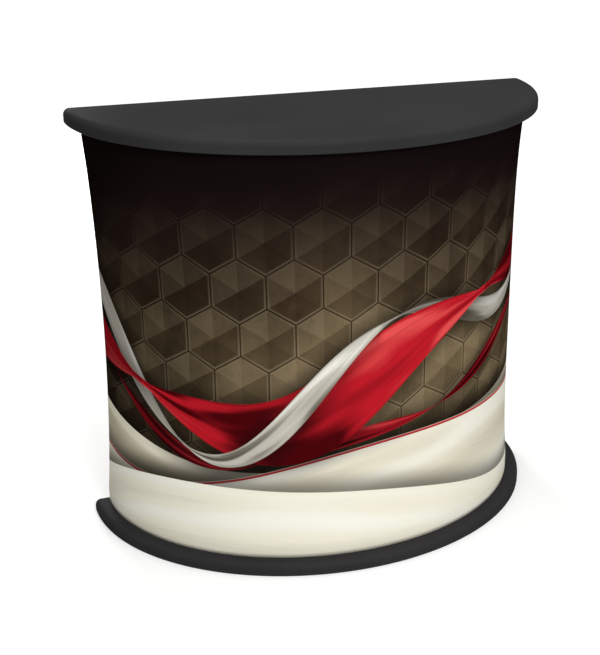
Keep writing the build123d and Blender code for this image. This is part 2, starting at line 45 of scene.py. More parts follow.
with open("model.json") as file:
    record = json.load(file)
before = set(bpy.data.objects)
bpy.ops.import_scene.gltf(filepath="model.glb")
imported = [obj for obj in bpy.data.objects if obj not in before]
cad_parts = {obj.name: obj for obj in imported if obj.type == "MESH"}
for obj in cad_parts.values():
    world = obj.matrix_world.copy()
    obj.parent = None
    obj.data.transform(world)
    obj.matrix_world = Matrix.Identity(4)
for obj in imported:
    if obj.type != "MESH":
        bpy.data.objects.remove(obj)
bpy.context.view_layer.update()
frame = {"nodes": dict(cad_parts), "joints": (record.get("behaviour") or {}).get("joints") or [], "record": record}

# The counter's places that the fabric follows: a box is its lowest and its highest corner
cover_low, cover_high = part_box("base_cover")
wrap_low, wrap_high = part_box("graphic_wrap")
rail_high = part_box("base_rail")[1]
top_rail_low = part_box("top_rail")[0]
hem_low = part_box("wrap_hem_right")[0]
HALF_WIDTH = cover_high.x
BACK_Y = cover_high.y
DEPTH = cover_high.y - cover_low.y
RETURN_END_X = hem_low.x
FABRIC_LOW, FABRIC_HIGH = wrap_low.z, wrap_high.z
WAIST_LOW, WAIST_HIGH = rail_high.z, top_rail_low.z

# Fabric: its place in from the covers' edges, its thickness and how far its waist is drawn in
FABRIC_INSET = 31.5 * MM
FABRIC_BACK_INSET = BACK_Y - wrap_high.y
FABRIC_THICKNESS = 0.8 * MM
FABRIC_CORNER = 14 * MM
WAIST_SIDE = 9.7 * MM
WAIST_FRONT = 8.0 * MM
WAIST_CORNER_GROWTH = 28 * MM
FRONT_STEPS = 220
CORNER_STEPS = 8
RETURN_STEPS = 14
HEIGHT_STEPS = 90
TOUCH_HALVINGS = 50

# Knit of the fabric, and the print's size along the fabric and up it
KNIT_PITCH_ACROSS = 1.4 * MM
KNIT_PITCH_UP = 2.2 * MM
KNIT_DEPTH = 0.12 * MM
PRINT_WIDTH = 1.754
PRINT_HEIGHT = FABRIC_HIGH - FABRIC_LOW
PRINT_MAP = "print"

# Stitching: thread, stitches and where their rows run
THREAD_RADIUS = 0.2 * MM
THREAD_RISE = 0.22 * MM
STITCH_PITCH = 3.6 * MM
STITCH_GAP_SHARE = 0.16
STITCH_SIDES = 5
STITCH_RINGS = ((0.0, -1.2, 0.7), (0.14, 0.1, 1.0), (0.5, 0.6, 1.0), (0.86, 0.1, 1.0), (1.0, -1.2, 0.7))
ROW_STEP = 1.5 * MM
ROW_FROM_TAPE_EDGE = 2.5 * MM
ROW_FROM_HEM_EDGE = 2.5 * MM
TAPE_SETBACK = 24 * MM
HEM_ROW_SETBACK = 2.0 * MM

# Leaf springs behind the snap buttons, about the upright's axis and the button's level
SPRING_THICKNESS = 0.8 * MM
SPRING_WIDTH = 6 * MM
SPRING_EDGE = 0.12 * MM
SPRING_BEND_RADIUS = 2.5 * MM
SPRING_DROP = 21 * MM
SPRING_SEAT = 4 * MM
SPRING_FRONT = 7.6 * MM
SPRING_BACK = -9.35 * MM
SPRING_STEP = 1.0 * MM
SPRING_BEND_STEPS = 6
SPRING_CORNERS = (
    (SPRING_FRONT, SPRING_SEAT),
    (SPRING_FRONT, -SPRING_SEAT),
    (SPRING_BEND_RADIUS, -SPRING_DROP),
    (-SPRING_BEND_RADIUS, -SPRING_DROP),
    (SPRING_BACK, -SPRING_SEAT),
    (SPRING_BACK, SPRING_SEAT),
)

# Plywood
PLY_THICKNESS = 1.5 * MM

# Photograph's camera: image size, focal length and principal point in its pixels
IMAGE_WIDTH, IMAGE_HEIGHT = 600, 655
FOCAL_PIXELS = 1260.1
PRINCIPAL_X, PRINCIPAL_Y = 345.7, 330.9
SENSOR = 36.0
CAMERA_PLACE = (-0.8201, BACK_Y - 2.6442, 1.4907)
CAMERA_YAW, CAMERA_PITCH = 0.3336, -0.3805

# Studio: each lamp's name, place, diameter and watts, the world's light and the floor's own glow
LAMP_TARGET = (0, 0, 0.5)
LAMPS = (
    ("key", (0.0, -3.9, 2.6), 1.6, 112),
    ("top", (0.0, -0.4, 4.2), 3.0, 94),
    ("back", (-0.5, 4.2, 1.15), 1.1, 104),
)
WORLD_LIGHT = 0.19
FLOOR_HALF_SIZE = 30.0
FLOOR_NEAR_AND_FAR = (0.9, 4.5)
FLOOR_NEAR_GLOW = 0.43
FLOOR_FAR_GLOW = 0.85
WHITE = (1.0, 1.0, 1.0, 1.0)


# Shader node helpers: a Term is a number or a socket, and arithmetic on terms adds Math nodes


class Term:
    def __init__(self, tree, value):
        self.tree = tree
        self.value = value

    def math(self, operation, *others):
        node = self.tree.nodes.new("ShaderNodeMath")
        node.operation = operation
        for socket, term in zip(node.inputs, (self, *others)):
            feed(self.tree, socket, term)
        return Term(self.tree, node.outputs[0])

    def __add__(self, other):
        return self.math("ADD", other)

    def __sub__(self, other):
        return self.math("SUBTRACT", other)

    def __mul__(self, other):
        return self.math("MULTIPLY", other)

    def __truediv__(self, other):
        return self.math("DIVIDE", other)

    __radd__ = __add__

    def __rsub__(self, other):
        return Term(self.tree, other).math("SUBTRACT", self)

    def __neg__(self):
        return self * -1.0

    def sin(self):
        return self.math("SINE")

    def cos(self):
        return self.math("COSINE")

    def abs(self):
        return self.math("ABSOLUTE")

    def sqrt(self):
        return self.math("SQRT")

    def power(self, other):
        return self.math("POWER", other)

    def fract(self):
        return self.math("FRACT")

    def least(self, other):
        return self.math("MINIMUM", other)

    def most(self, other):
        return self.math("MAXIMUM", other)

    def clamp(self):
        return self.most(0.0).least(1.0)

    def ramp(self, low, high):
        """0 up to low, 1 from high on, and an even slope that eases in and out between them."""
        t = ((self - low) / (high - low)).clamp()
        return t * t * (3.0 - t * 2.0)


def feed(tree, socket, value):
    """Give an input socket a term, another node's output, a number or a colour."""
    value = value.value if isinstance(value, Term) else value
    if isinstance(value, bpy.types.NodeSocket):
        tree.links.new(value, socket)
    else:
        socket.default_value = value


def new_material(name):
    material = bpy.data.materials.new(name)
    material.use_nodes = True
    tree = material.node_tree
    return material, tree, tree.nodes["Principled BSDF"]


def object_place(tree):
    return tree.nodes.new("ShaderNodeTexCoord").outputs["Object"]


def stretched(tree, vector, scale):
    """The vector with each axis scaled, for grain and brushing."""
    node = tree.nodes.new("ShaderNodeMapping")
    node.inputs["Scale"].default_value = scale
    tree.links.new(vector, node.inputs["Vector"])
    return node.outputs["Vector"]


def split(tree, vector):
    """The three coordinates of a vector, as terms."""
    node = tree.nodes.new("ShaderNodeSeparateXYZ")
    tree.links.new(vector, node.inputs[0])
    return [Term(tree, output) for output in node.outputs]


def combine(tree, x, y):
    """Flat vector of two coordinates."""
    node = tree.nodes.new("ShaderNodeCombineXYZ")
    feed(tree, node.inputs["X"], x)
    feed(tree, node.inputs["Y"], y)
    return node.outputs["Vector"]


def noise(tree, vector, scale, detail=2.0, roughness=0.5, kind="3D"):
    node = tree.nodes.new("ShaderNodeTexNoise")
    node.noise_dimensions = kind
    node.inputs["Scale"].default_value = scale
    node.inputs["Detail"].default_value = detail
    node.inputs["Roughness"].default_value = roughness
    tree.links.new(vector, node.inputs["Vector"])
    return Term(tree, node.outputs["Fac"])


def flat_noise(tree, x, y, scale, detail, roughness):
    """Noise at a place given by two terms."""
    return noise(tree, combine(tree, x, y), scale, detail, roughness, "2D")


def cells(tree, vector, scale, feature):
    """Distance from the nearest of many scattered points."""
    node = tree.nodes.new("ShaderNodeTexVoronoi")
    node.feature = feature
    node.inputs["Scale"].default_value = scale
    tree.links.new(vector, node.inputs["Vector"])
    return Term(tree, node.outputs["Distance"])


def srgb(red, green, blue):
    """Linear colour of an 8-bit screen colour."""
    shares = (channel / 255 for channel in (red, green, blue))
    return (*(c / 12.92 if c <= 0.04045 else ((c + 0.055) / 1.055) ** 2.4 for c in shares), 1.0)


def mix(tree, share, low, high):
    """Colour between two colours: low at share 0 and high at share 1."""
    node = tree.nodes.new("ShaderNodeMix")
    node.data_type = "RGBA"
    share_input, low_input, high_input = node.inputs[0], node.inputs[6], node.inputs[7]
    feed(tree, share_input, share)
    feed(tree, low_input, low)
    feed(tree, high_input, high)
    return node.outputs[2]


def bump(tree, shader, height, distance, strength=1.0):
    node = tree.nodes.new("ShaderNodeBump")
    node.inputs["Distance"].default_value = distance
    node.inputs["Strength"].default_value = strength
    feed(tree, node.inputs["Height"], height)
    tree.links.new(node.outputs["Normal"], shader.inputs["Normal"])


# Materials of the hard pieces and the threads


def mottled(name, dark, light, scale, roughness, spread=0.06, grain=0.0, grain_scale=900.0,
            metallic=0.0, specular=0.5):
    """Moulded, painted, spun or metal surface: cloudy tone, uneven gloss and a fine grain."""
    material, tree, shader = new_material(name)
    place = object_place(tree)
    cloud = noise(tree, place, scale, detail=4.0)
    feed(tree, shader.inputs["Base Color"], mix(tree, cloud, dark, light))
    fine = noise(tree, place, scale * 9, detail=3.0)
    feed(tree, shader.inputs["Roughness"], roughness - spread / 2 + fine * spread)
    shader.inputs["Metallic"].default_value = metallic
    shader.inputs["Specular IOR Level"].default_value = specular
    if grain:
        bump(tree, shader, noise(tree, place, grain_scale), grain)
    return material


def cover_plastic():
    """Textured black-grey shell: haircell grain with painted shade in its pits, cloudy tone and a few faint rubbed
    streaks.
    """
    material, tree, shader = new_material("cover_plastic")
    place = object_place(tree)
    cloud = noise(tree, place, 3.0, detail=4.0)
    pit = cells(tree, place, 620.0, "SMOOTH_F1")
    fine = noise(tree, place, 2200.0)
    streaks = stretched(tree, place, (1.0, 5.0, 9.0))
    rubbed = noise(tree, streaks, 26.0, detail=5.0, roughness=0.65).ramp(0.6, 0.78)
    base = mix(tree, cloud.ramp(0.3, 0.7), srgb(48, 47, 48), srgb(53, 52, 53))
    # Painted shade: the grain's pits are darkened a quarter of the way to a deeper grey
    base = mix(tree, (1.0 - pit).ramp(0.45, 0.9) * 0.25, base, srgb(40, 39, 40))
    feed(tree, shader.inputs["Base Color"], mix(tree, rubbed * 0.12, base, srgb(78, 77, 78)))
    feed(tree, shader.inputs["Roughness"], 0.56 + cloud * 0.12)
    shader.inputs["Specular IOR Level"].default_value = 0.0
    shader.inputs["Coat Weight"].default_value = 0.035
    shader.inputs["Coat Roughness"].default_value = 0.38
    bump(tree, shader, pit + fine * 0.3, 0.16 * MM)
    return material


def plywood():
    """Birch plies: pale and dark layers through the thickness, long grain on the faces."""
    material, tree, shader = new_material("plywood")
    place = object_place(tree)
    height = split(tree, place)[2]
    layer = ((height / PLY_THICKNESS).fract() - 0.5).abs().ramp(0.18, 0.3)
    grain = noise(tree, stretched(tree, place, (6.0, 60.0, 60.0)), 4.0, detail=6.0, roughness=0.6)
    face = mix(tree, grain, srgb(196, 160, 112), srgb(224, 194, 150))
    edge = mix(tree, grain, srgb(140, 102, 64), face)
    feed(tree, shader.inputs["Base Color"], mix(tree, layer, face, edge))
    feed(tree, shader.inputs["Roughness"], 0.55 + grain * 0.2)
    bump(tree, shader, grain, 0.15 * MM)
    return material


def aluminium(name, brushed):
    """Satin anodised tube or strip with fine brushing, drawn out along the axes of least scale."""
    material, tree, shader = new_material(name)
    place = object_place(tree)
    brushing = noise(tree, stretched(tree, place, brushed), 1.0, detail=3.0, roughness=0.6)
    colour = mix(tree, brushing, srgb(176, 178, 181), srgb(205, 207, 210))
    feed(tree, shader.inputs["Base Color"], colour)
    feed(tree, shader.inputs["Roughness"], 0.26 + brushing * 0.16)
    shader.inputs["Metallic"].default_value = 1.0
    bump(tree, shader, brushing, 0.02 * MM)
    return material


def steel(name, dark, light, roughness):
    return mottled(
        name, dark, light, scale=60.0, roughness=roughness, spread=0.1, grain=0.01 * MM,
        grain_scale=2500.0, metallic=1.0,
    )


def thread(name, dark, light):
    """Spun polyester thread: a fine lay of strands, without gloss."""
    return mottled(
        name, dark, light, scale=400.0, roughness=0.7, spread=0.2, grain=0.05 * MM,
        grain_scale=5000.0, specular=0.0,
    )


def tape():
    """Woven hook and loop tape: a dense pile of tiny tufts, with painted shade between them."""
    material, tree, shader = new_material("tape_black")
    tuft = cells(tree, object_place(tree), 900.0, "F1")
    # Painted shade: lighter at each tuft's top and darker in the gaps between tufts
    feed(tree, shader.inputs["Base Color"], mix(tree, tuft, srgb(30, 30, 31), srgb(12, 12, 13)))
    shader.inputs["Roughness"].default_value = 0.9
    shader.inputs["Sheen Weight"].default_value = 0.3
    bump(tree, shader, 1.0 - tuft, 0.5 * MM)
    return material


def laminate():
    """Pale grey melamine with a fine speckle."""
    material, tree, shader = new_material("shelf_laminate")
    place = object_place(tree)
    speckle = noise(tree, place, 500.0, detail=3.0, roughness=0.7).ramp(0.35, 0.7)
    cloud = noise(tree, place, 5.0, detail=3.0)
    base = mix(tree, cloud, srgb(190, 189, 186), srgb(202, 201, 198))
    feed(tree, shader.inputs["Base Color"], mix(tree, speckle * 0.35, base, srgb(150, 149, 146)))
    feed(tree, shader.inputs["Roughness"], 0.42 + cloud * 0.1)
    bump(tree, shader, speckle, 0.03 * MM)
    return material


# The print on the fabric. Its places are x across from its middle and y up from its lower edge. A wave
# is a height, a rate and a phase, and a pair of widths or levels is where a change starts and ends

# Hexagon field: tiles, the light on them, their seams and lit rims, the glow, and the fade to black
TILE = 0.12
TILE_SHIFT_X, TILE_SHIFT_Y = 0.035, 0.02
LIGHT_ON_TILES = (-0.5, 0.87)
FACET_EDGE = 0.8 * MM
SEAM = (0.3 * MM, 2.2 * MM)
RIM_OUTER = (1.2 * MM, 3.0 * MM)
RIM_INNER = (3.0 * MM, 7.5 * MM)
GLOW_X, GLOW_Y = 0.08, 0.36
GLOW_REACH_X, GLOW_REACH_Y = 0.5, 0.27
SIDES_X, SIDES_REACH = 0.06, 0.72
DUSK = (0.44, 0.86)
BLACK = (0.66, 0.96)

# Sweeps of silk, from the back one to the front one: level, waves, tones, seed, and whether it is piped
TAUPE_SILK = (srgb(142, 130, 106), srgb(210, 201, 177), srgb(242, 235, 214))
CREAM_SILK = (srgb(182, 173, 150), srgb(235, 229, 208), srgb(252, 249, 234))
IVORY_SILK = (srgb(208, 201, 180), srgb(249, 245, 226), srgb(255, 254, 241))
SWEEPS = (
    (0.275, ((0.066, 2.9, -1.0), (0.012, 7.3, 0.9)), TAUPE_SILK, 3.0, False),
    (0.215, ((0.058, 3.4, 0.5), (0.010, 8.2, 2.0)), CREAM_SILK, 7.0, True),
    (0.115, ((0.052, 3.9, 2.6), (0.008, 9.0, 0.3)), IVORY_SILK, 11.0, False),
)
SWEEP_EDGE = 0.6 * MM
SWEEP_ROLL = 0.03
SWEEP_SHADOW = (-0.06, 0.002)
PIPING_MIDDLE, PIPING_HALF = 3.5 * MM, 3.2 * MM
GLINT_MIDDLE, GLINT_HALF = 2.6 * MM, 1.2 * MM

# Ribbons: the pale one winds round the crimson one, and ends in front of it at the fabric's right end
CRIMSON_SATIN = (srgb(74, 7, 12), srgb(196, 30, 42), srgb(236, 84, 84))
CREAM_SATIN = (srgb(98, 92, 82), srgb(204, 199, 186), srgb(246, 244, 236))
WINE_SATIN = (srgb(52, 6, 10), srgb(150, 22, 32), srgb(206, 58, 62))
MAIN_WAVE = (0.135, 4.1, -0.35)
WINDING_RATE, WINDING_PHASE = 8.2, 1.3
STAYS_IN_FRONT_FROM = 0.75
RIBBON_EDGE = 1.4 * MM
RIBBON_SHADOW = (-0.045, 0.01)
THINNEST_SHARE = 0.1


def hexagons(tree, x, y, size):
    """Distance from the nearest hexagon's edge, a tone of its own, and the place from its centre."""
    row = size * math.sqrt(3.0)
    near = []
    for shift in (0.0, 0.5):
        dx = ((x / size + shift).fract() - 0.5) * size
        dy = ((y / row + shift).fract() - 0.5) * row
        reach = dx.abs().most(dx.abs() * 0.5 + dy.abs() * (math.sqrt(3.0) / 2))
        near.append((reach, x - dx, y - dy))
    (even_reach, even_x, even_y), (odd_reach, odd_x, odd_y) = near
    even = even_reach.math("LESS_THAN", odd_reach)
    centre_x = even_x * even + odd_x * (1.0 - even)
    centre_y = even_y * even + odd_y * (1.0 - even)
    tone = tree.nodes.new("ShaderNodeTexWhiteNoise")
    tone.noise_dimensions = "2D"
    snapped_x = (centre_x / size * 2.0).math("ROUND")
    snapped_y = (centre_y / row * 2.0).math("ROUND")
    tree.links.new(combine(tree, snapped_x, snapped_y), tone.inputs["Vector"])
    edge = size / 2 - even_reach.least(odd_reach)
    return edge, Term(tree, tone.outputs["Value"]), x - centre_x, y - centre_y


def facets(in_x, in_y):
    """Light on a low six-sided pyramid: one even tone for each of its sides, -1 to 1."""
    axes = ((1.0, 0.0), (0.5, math.sqrt(0.75)), (-0.5, math.sqrt(0.75)))
    reaches = [in_x * axis_x + in_y * axis_y for axis_x, axis_y in axes]
    spans = [reach.abs() for reach in reaches]
    sides = []
    for number, (axis_x, axis_y) in enumerate(axes):
        others = spans[number - 1].most(spans[number - 2])
        chosen = (spans[number] - others).ramp(-FACET_EDGE, FACET_EDGE)
        lit = axis_x * LIGHT_ON_TILES[0] + axis_y * LIGHT_ON_TILES[1]
        sides.append(chosen * (reaches[number].math("SIGN") * lit))
    return sides[0] + sides[1] + sides[2]


def hexagon_field(tree, x, y, grit):
    """Bronze field of low hexagon pyramids: lit facets, soft seams, a warm glow, black above."""
    edge, tone, in_x, in_y = hexagons(tree, x + TILE_SHIFT_X, y + TILE_SHIFT_Y, TILE)
    clouds = flat_noise(tree, x, y, 4.2, 5.0, 0.6)
    field = mix(tree, clouds.ramp(0.3, 0.7), srgb(58, 46, 31), srgb(104, 88, 64))
    field = mix(tree, tone * 0.4, field, srgb(52, 41, 27))

    # Warm glow, light and shade on the pyramids
    away_x = ((x - GLOW_X) / GLOW_REACH_X).power(2.0)
    away_y = ((y - GLOW_Y) / GLOW_REACH_Y).power(2.0)
    glow = (1.0 - away_x - away_y).ramp(0.0, 1.0)
    field = mix(tree, glow * 0.4, field, srgb(158, 138, 104))
    light = facets(in_x, in_y) * (clouds * 0.8 + 0.6)
    field = mix(tree, light.clamp() * 0.2, field, srgb(190, 172, 138))
    field = mix(tree, (-light).clamp() * 0.34, field, srgb(22, 16, 10))

    # Rims, brightest at each tile's lower right, dark seams and specks of grit
    rim = edge.ramp(*RIM_OUTER) * (1.0 - edge.ramp(*RIM_INNER))
    rim_light = (in_x * 3.0 - in_y * 6.0 + 0.5).clamp()
    field = mix(tree, rim * rim_light * 0.35, field, srgb(186, 168, 136))
    field = mix(tree, (1.0 - edge.ramp(*SEAM)) * 0.75, field, srgb(20, 15, 11))
    field = mix(tree, grit.ramp(0.5, 0.8) * 0.22, field, srgb(34, 26, 18))

    # Darker towards both ends, and black above
    side = ((x - SIDES_X) / SIDES_REACH).power(2.0)
    field = mix(tree, (side * 0.7).clamp(), field, srgb(20, 14, 10))
    height = y + side * 0.05 + (clouds - 0.5) * 0.09
    field = mix(tree, height.ramp(*DUSK), field, srgb(28, 18, 18))
    return mix(tree, height.ramp(*BLACK) * 0.75, field, srgb(15, 11, 11))


def silk_sweep(tree, picture, x, y, level, waves, tones, seed):
    """Sheet of silk below a wave: lit rolled edge, long folds that run with it, and its shadow."""
    edge = Term(tree, level)
    for height, rate, phase in waves:
        edge = edge + (x * rate + phase).sin() * height
    below = edge - y
    dark, middle, light = tones
    drift = flat_noise(tree, x * 0.9 + seed, below * 1.6, 1.7, 1.0, 0.4)
    spread = flat_noise(tree, x * 1.4 + seed, below * 0.5 + 4.0, 1.5, 0.0, 0.4)
    folds = (below * (34.0 + spread * 30.0) + drift * 7.0 + x * 2.0).sin() * 0.5 + 0.5
    folds = folds.power(1.6) * (drift * 1.2 + 0.2).clamp()
    fibres = flat_noise(tree, x * 7.0 + seed, below * 150.0, 1.0, 4.0, 0.6)
    roll = (1.0 - (below / SWEEP_ROLL - 0.4).abs()).clamp()
    tone = (folds * 0.55 + roll * 0.35 + 0.36 + (fibres - 0.5) * 0.14).clamp()
    silk = mix(tree, tone.ramp(0.02, 0.5), dark, middle)
    silk = mix(tree, tone.ramp(0.5, 0.95), silk, light)
    picture = mix(tree, below.ramp(*SWEEP_SHADOW) * 0.72, picture, srgb(24, 19, 14))
    return mix(tree, below.ramp(-SWEEP_EDGE, SWEEP_EDGE), picture, silk), below


def piping(tree, picture, below):
    """Crimson cord along a sweep's edge, with a glint on it."""
    cord = (1.0 - (below - PIPING_MIDDLE).abs() / PIPING_HALF).ramp(0.0, 0.3)
    picture = mix(tree, cord, picture, srgb(178, 26, 38))
    glint = (1.0 - (below - GLINT_MIDDLE).abs() / GLINT_HALF).ramp(0.0, 0.9)
    return mix(tree, glint * 0.5, picture, srgb(240, 120, 120))


class Ribbon:
    """Satin ribbon that twists along a wave: its own coordinates, its outline and its two faces."""

    def __init__(self, tree, x, y, level, waves, half_width, twist_rate, twist_phase):
        self.tree = tree
        self.x = x
        middle, slope = Term(tree, level), Term(tree, 0.0)
        for height, rate, phase in waves:
            middle = middle + (x * rate + phase).sin() * height
            slope = slope + (x * rate + phase).cos() * (height * rate)
        self.twist = x * twist_rate + twist_phase
        turned = self.twist.cos()
        half = turned.abs().most(THINNEST_SHARE) * half_width
        self.across = (y - middle) / (slope * slope + 1.0).sqrt() / half
        self.face = turned.ramp(-0.02, 0.02)
        inside = (1.0 - self.across.abs()) * half
        self.mask = inside.ramp(0.0, RIBBON_EDGE)
        self.shadow = inside.ramp(*RIBBON_SHADOW) * (1.0 - self.mask)

    def cloth(self, dark, middle, light, back_share, seed):
        """Satin: long folds, a roll of light round each twist, dark streaks and soft edges."""
        tree, x, across = self.tree, self.x, self.across
        drift = flat_noise(tree, x * 2.4 + seed, across * 0.3, 1.6, 1.0, 0.4)
        folds = flat_noise(tree, x * 3.0 + seed, across * 1.2, 1.5, 1.0, 0.4)
        streaks = flat_noise(tree, x * 5.0 + seed, across * 26.0, 1.0, 4.0, 0.65)
        satin = ((across * 3.4 + drift * 11.0 + x * 3.0).sin() * 0.5 + 0.5).power(1.5)
        roll = (self.twist * 2.0 + across * 0.9).sin() * 0.5 + 0.5
        tone = (satin * 0.46 + roll * 0.46 + (folds - 0.5) * 0.6).clamp()
        edge = (1.0 - across.abs()).ramp(0.0, 0.16)
        tone = tone * (edge * 0.45 + 0.55)
        cloth = mix(tree, tone.ramp(0.05, 0.5), dark, middle)
        cloth = mix(tree, tone.ramp(0.55, 0.98), cloth, light)
        cloth = mix(tree, streaks.ramp(0.38, 0.78) * 0.3, cloth, dark)
        return mix(tree, (1.0 - self.face) * back_share, cloth, dark)


def lay_ribbons(tree, picture, x, y):
    """The thin ribbon, then the crimson one with the pale one wound round it."""
    main = Ribbon(tree, x, y, level=0.435, waves=(MAIN_WAVE, (0.016, 11.0, 0.4)),
                  half_width=0.082, twist_rate=3.6, twist_phase=0.35)
    pale = Ribbon(tree, x, y, level=0.45, waves=(MAIN_WAVE, (0.094, WINDING_RATE, WINDING_PHASE)),
                  half_width=0.028, twist_rate=6.4, twist_phase=1.1)
    thin = Ribbon(tree, x, y, level=0.33, waves=((0.11, 4.1, -0.75), (0.03, 9.4, 2.2)),
                  half_width=0.017, twist_rate=7.7, twist_phase=0.2)
    winding = (x * WINDING_RATE + WINDING_PHASE).cos()
    in_front = winding.most((x - STAYS_IN_FRONT_FROM) * 10.0).ramp(-0.08, 0.08)

    # From back to front: ribbon, satin, how dark its back is, seed, share of its shadow, share of it
    layers = (
        (thin, WINE_SATIN, 0.45, 4.0, 1.0, 1.0),
        (pale, CREAM_SATIN, 0.35, 9.0, 1.0 - in_front, 1.0),
        (main, CRIMSON_SATIN, 0.5, 1.0, 1.0, 1.0),
        (pale, CREAM_SATIN, 0.35, 9.0, in_front, in_front),
    )
    for ribbon, satin, back_share, seed, cast_share, shown_share in layers:
        picture = mix(tree, ribbon.shadow * cast_share * 0.55, picture, srgb(14, 11, 10))
        cloth = ribbon.cloth(*satin, back_share, seed)
        picture = mix(tree, ribbon.mask * shown_share, picture, cloth)
    return picture


def print_map(tree):
    """Place on the print as shares of its width, from the left return's edge, and of its height."""
    uv = tree.nodes.new("ShaderNodeUVMap")
    uv.uv_map = PRINT_MAP
    return split(tree, uv.outputs["UV"])[:2]


def print_group():
    """Node group that gives the print's colour at a place on the fabric, from its UV map."""
    tree = bpy.data.node_groups.new("fabric_print", "ShaderNodeTree")
    tree.interface.new_socket(name="Color", in_out="OUTPUT", socket_type="NodeSocketColor")
    end = tree.nodes.new("NodeGroupOutput")
    across, up = print_map(tree)
    x = (across - 0.5) * PRINT_WIDTH
    y = up * PRINT_HEIGHT
    grit = flat_noise(tree, x, y, 60.0, 4.0, 0.7)
    picture = hexagon_field(tree, x, y, grit)
    for level, waves, tones, seed, piped in SWEEPS:
        picture, below = silk_sweep(tree, picture, x, y, level, waves, tones, seed)
        if piped:
            picture = piping(tree, picture, below)
    tree.links.new(lay_ribbons(tree, picture, x, y), end.inputs["Color"])
    return tree


# Materials of the soft pieces


def print_colour(tree, group):
    node = tree.nodes.new("ShaderNodeGroup")
    node.node_tree = group
    return node.outputs["Color"]


def knit(tree, shader):
    """Fine warp-knit ribs of the stretch fabric, read along the print's own map."""
    across, up = print_map(tree)
    x = across * (PRINT_WIDTH / KNIT_PITCH_ACROSS * math.pi)
    y = up * (PRINT_HEIGHT / KNIT_PITCH_UP * math.tau)
    ribs = x.sin().abs() * (y.sin() * 0.35 + 0.65)
    bump(tree, shader, ribs, KNIT_DEPTH, strength=0.5)
    return ribs


def printed_fabric(group):
    """Outer side of the fabric: the print, with the knit's ribs in it."""
    material, tree, shader = new_material("printed_fabric")
    ribs = knit(tree, shader)
    feed(tree, shader.inputs["Base Color"], print_colour(tree, group))
    feed(tree, shader.inputs["Roughness"], 0.72 + ribs * 0.08)
    shader.inputs["Specular IOR Level"].default_value = 0.0
    return material


def fabric_back(group):
    """White inner side of the fabric, with painted shade in the knit's furrows and the print showing through
    faintly.
    """
    material, tree, shader = new_material("fabric_back")
    ribs = knit(tree, shader)
    # Painted shade: the white is darker in the furrows between the knit's ribs
    white = mix(tree, ribs, srgb(205, 203, 198), srgb(226, 224, 219))
    feed(tree, shader.inputs["Base Color"], mix(tree, 0.18, white, print_colour(tree, group)))
    feed(tree, shader.inputs["Roughness"], 0.78 + ribs * 0.08)
    return material


def hem_fabric():
    """Plain woven facing of the wrap's hems."""
    material, tree, shader = new_material("hem_fabric")
    weave = noise(tree, stretched(tree, object_place(tree), (1500.0, 1500.0, 500.0)), 1.0)
    feed(tree, shader.inputs["Base Color"], mix(tree, weave, srgb(196, 194, 188), srgb(222, 220, 214)))
    shader.inputs["Roughness"].default_value = 0.85
    bump(tree, shader, weave, 0.2 * MM)
    return material


# Fabric mesh


def corner_touch(half_width, front, radius):
    """Ellipse angle at which the rear corner's arc starts, and the arc's centre in from the back."""
    low, high = 0.0, math.pi / 4
    for _ in range(TOUCH_HALVINGS):
        angle = (low + high) / 2
        normal = Vector((math.cos(angle) / half_width, math.sin(angle) / front)).normalized()
        centre = Vector((half_width * math.cos(angle), front * math.sin(angle))) - normal * radius
        if centre.y < FABRIC_BACK_INSET + radius:
            low = angle
        else:
            high = angle
    return low, centre


def plan_at(z):
    """Points of the fabric's plan at a level, from the left return's edge round to the right one's."""
    height_share = min(max((z - WAIST_LOW) / (WAIST_HIGH - WAIST_LOW), 0.0), 1.0)
    waist_share = 4 * height_share * (1 - height_share)
    drawn_in_share = waist_share * (2 - waist_share)
    half_width = HALF_WIDTH - FABRIC_INSET - WAIST_SIDE * drawn_in_share
    front = DEPTH - FABRIC_INSET - WAIST_FRONT * drawn_in_share
    radius = FABRIC_CORNER + WAIST_CORNER_GROWTH * waist_share**2
    start, centre = corner_touch(half_width, front, radius)
    touch = math.atan2(front * math.sin(start) - centre.y, half_width * math.cos(start) - centre.x)
    right = []
    for number in range(RETURN_STEPS):
        x = RETURN_END_X + (centre.x - RETURN_END_X) * number / RETURN_STEPS
        right.append((x, FABRIC_BACK_INSET))
    for number in range(CORNER_STEPS):
        turn = -math.pi / 2 + (touch + math.pi / 2) * number / CORNER_STEPS
        right.append((centre.x + radius * math.cos(turn), centre.y + radius * math.sin(turn)))
    middle = []
    for number in range(FRONT_STEPS + 1):
        angle = math.pi - start - (math.pi - 2 * start) * number / FRONT_STEPS
        middle.append((half_width * math.cos(angle), front * math.sin(angle)))
    left = [(-x, depth) for x, depth in right]
    points = np.array(left + middle + right[::-1])
    points[:, 1] = BACK_Y - points[:, 1]
    return points


def lengths_along(points):
    """How far along a line each of its points lies."""
    steps = np.linalg.norm(np.diff(points, axis=0), axis=1)
    return np.concatenate([[0.0], np.cumsum(steps)])


def fabric_surface():
    """Grid of points over the fabric's outer side, and what share of its plan lies before each."""
    grid, along = [], []
    for z in np.linspace(FABRIC_LOW, FABRIC_HIGH, HEIGHT_STEPS + 1):
        points = plan_at(z)
        reached = lengths_along(points)
        along.append(reached / reached[-1])
        grid.append(np.column_stack([points, np.full(len(points), z)]))
    return np.array(grid), np.array(along)


def grid_normals(grid):
    """Outward unit normals of a grid whose columns run from the left return to the right one."""
    across = np.gradient(grid, axis=1)
    up = np.gradient(grid, axis=0)
    normal = np.cross(across, up)
    return normal / np.linalg.norm(normal, axis=2)[..., None]


def new_object(name, vertices, faces, materials, smooth=True):
    mesh = bpy.data.meshes.new(name)
    mesh.from_pydata([tuple(v) for v in vertices], [], faces)
    for material in materials:
        mesh.materials.append(material)
    if smooth:
        mesh.shade_smooth()
    made = bpy.data.objects.new(name, mesh)
    bpy.context.collection.objects.link(made)
    return made


